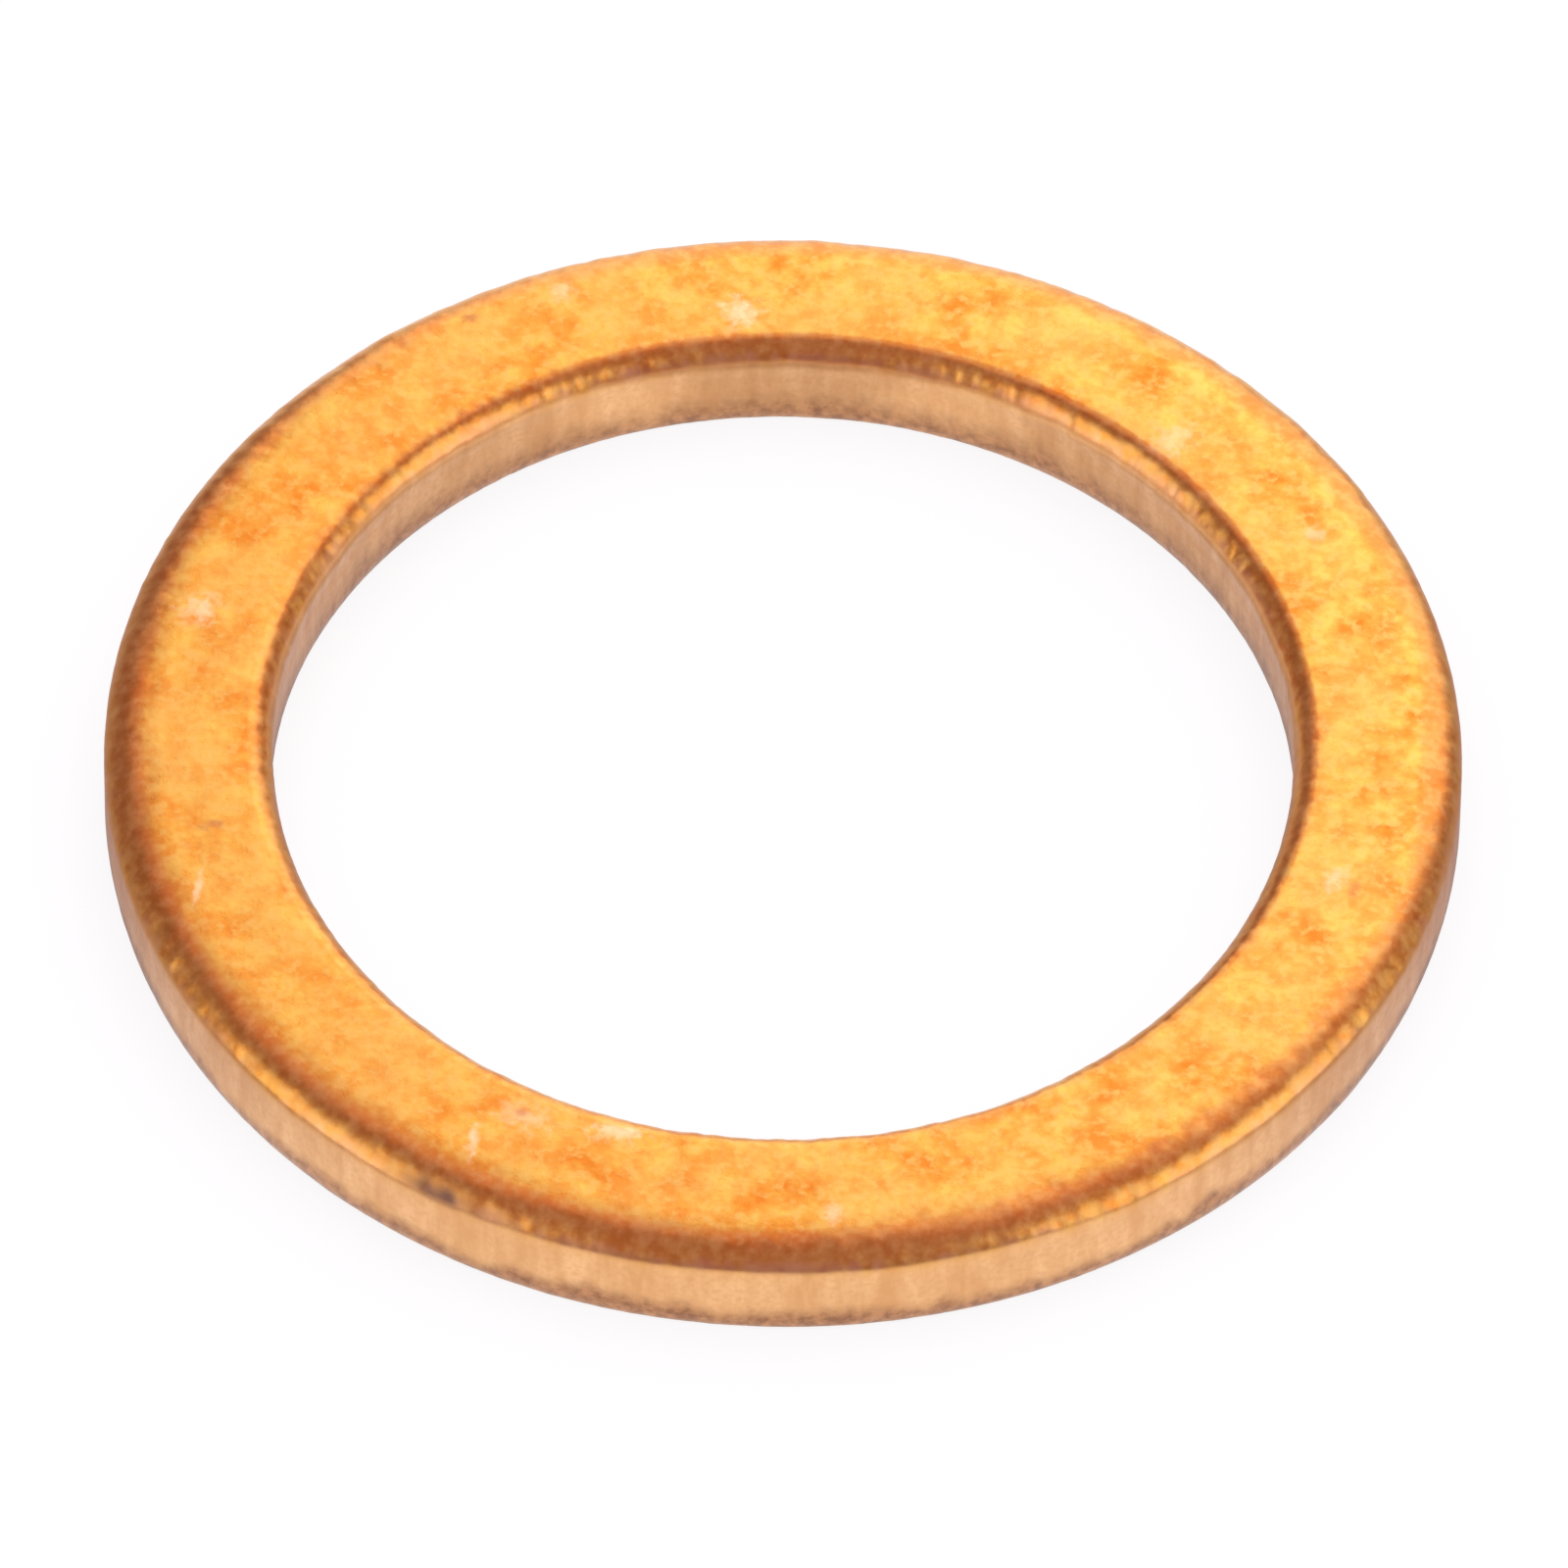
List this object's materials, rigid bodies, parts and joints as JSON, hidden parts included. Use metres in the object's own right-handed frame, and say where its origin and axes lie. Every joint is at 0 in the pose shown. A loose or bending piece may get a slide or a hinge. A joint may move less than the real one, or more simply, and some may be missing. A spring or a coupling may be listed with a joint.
{
  "type": "copper crush washer",
  "caption": "Flat copper crush washer: a solid stamped ring with soft rolled upper edges, squeezed under a screw plug's head to seal a fluid port.",
  "frame": {"origin": "centre of the ring on its lower face", "axes": "+Z along the bore axis, from the lower face towards the face with the rolled edges; X and Y lie in the lower face"},
  "size_m": [0.024, 0.024, 0.0019],
  "materials": {
    "copper": "bright, as stamped and tumbled"
  },
  "bodies": {
    "root": {"washer": "copper"}
  },
  "joints": []
}
